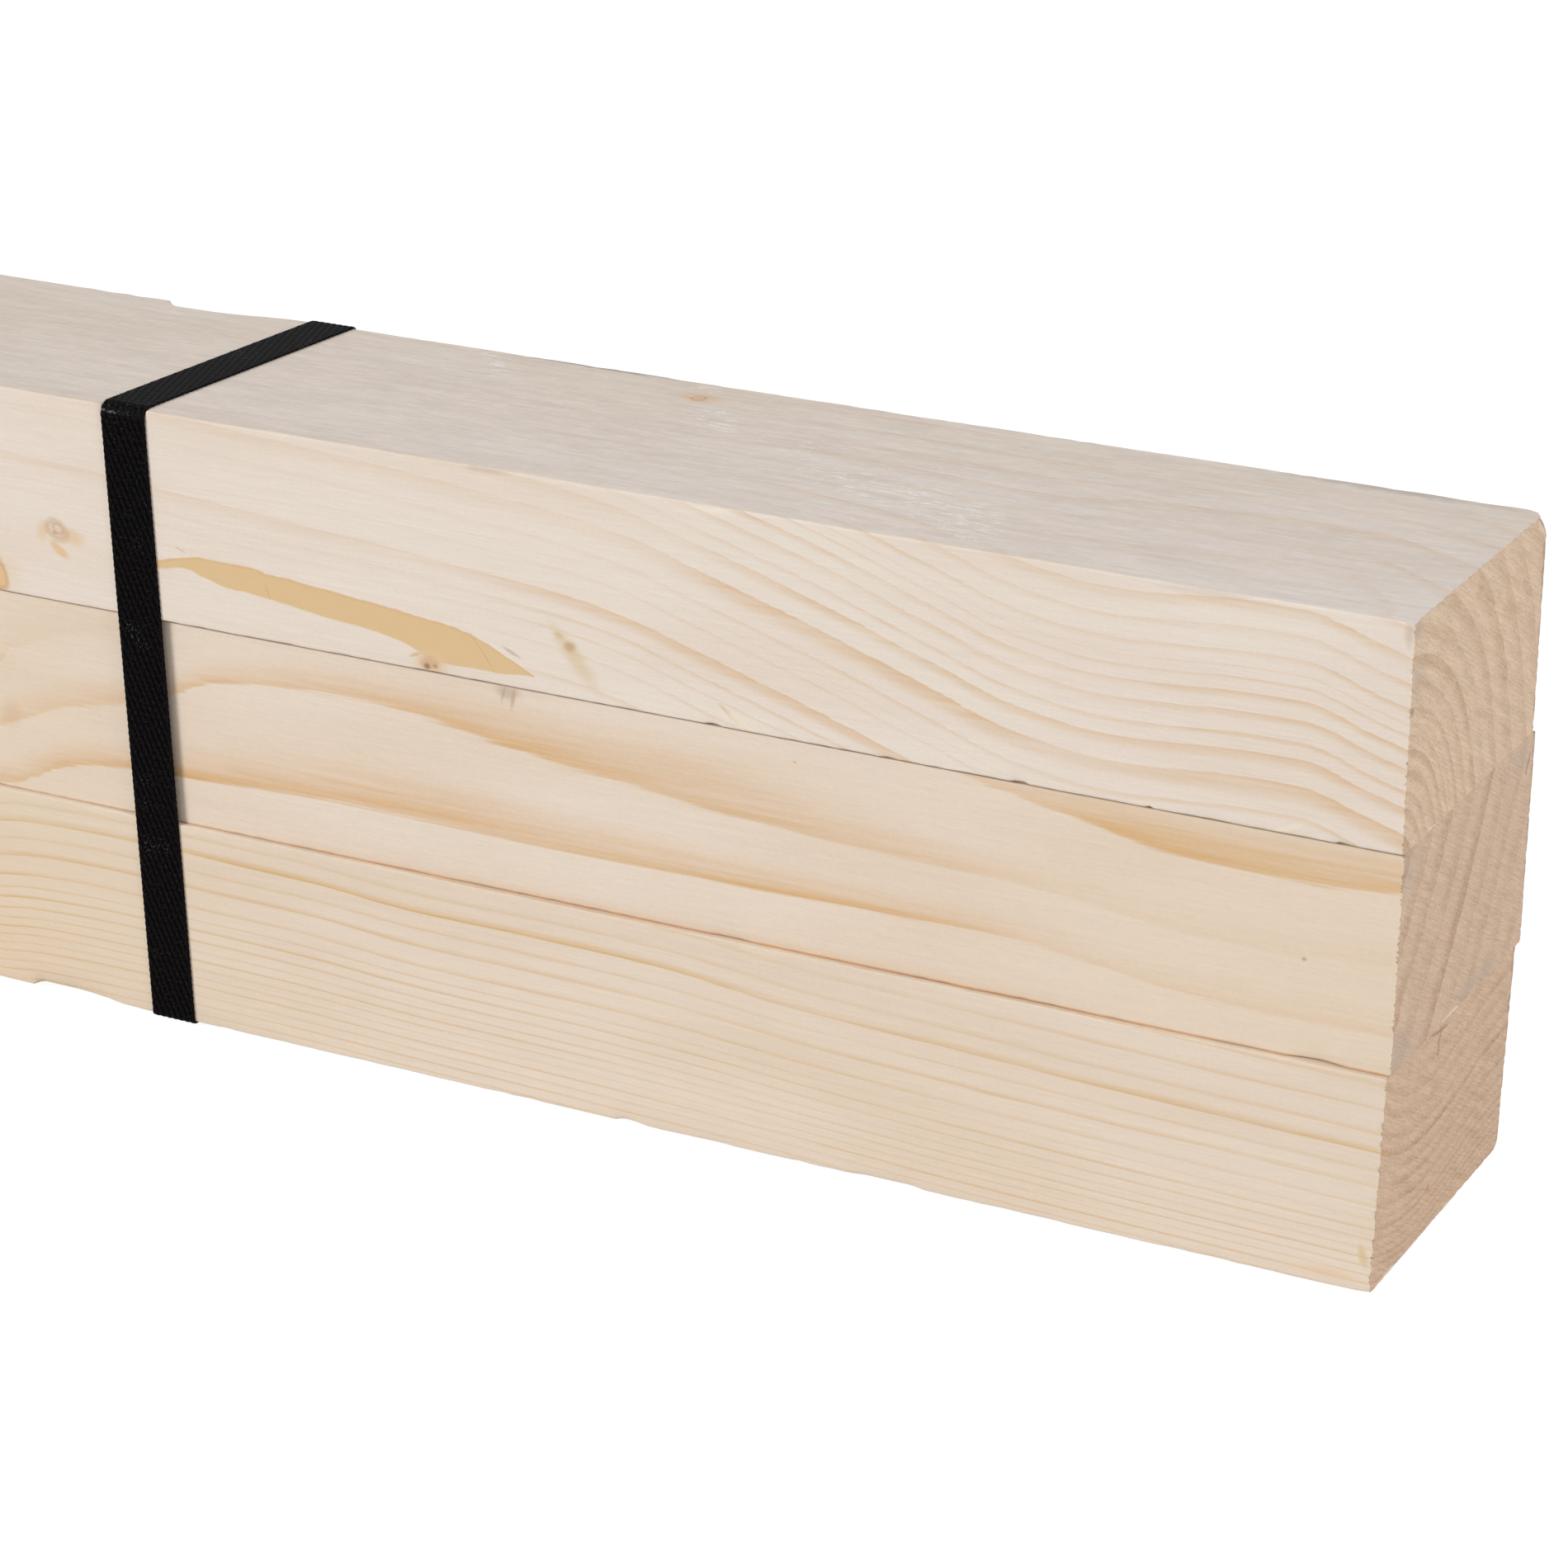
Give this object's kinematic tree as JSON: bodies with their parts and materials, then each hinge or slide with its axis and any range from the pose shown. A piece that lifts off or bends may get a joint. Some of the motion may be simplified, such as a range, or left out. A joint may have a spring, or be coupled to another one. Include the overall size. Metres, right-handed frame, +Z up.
{
  "type": "bundle of wooden battens",
  "caption": "Strapped bundle of planed softwood battens, stacked flat on each other and held by flat black plastic straps near both ends.",
  "frame": {"origin": "on the floor under the middle of the stack", "axes": "+X along the battens towards the right end as seen from the front, -Y out of the front faces, +Z up"},
  "size_m": [2.1005, 0.072, 0.1332],
  "materials": {
    "spruce": "planed pale spruce, untreated, dry and matt, with sawn end grain",
    "strapping": "black embossed polypropylene strapping, dull"
  },
  "bodies": {
    "root": {"batten_bottom": "spruce", "batten_middle": "spruce", "batten_top": "spruce", "strap_right": "strapping", "strap_left": "strapping"}
  },
  "joints": []
}
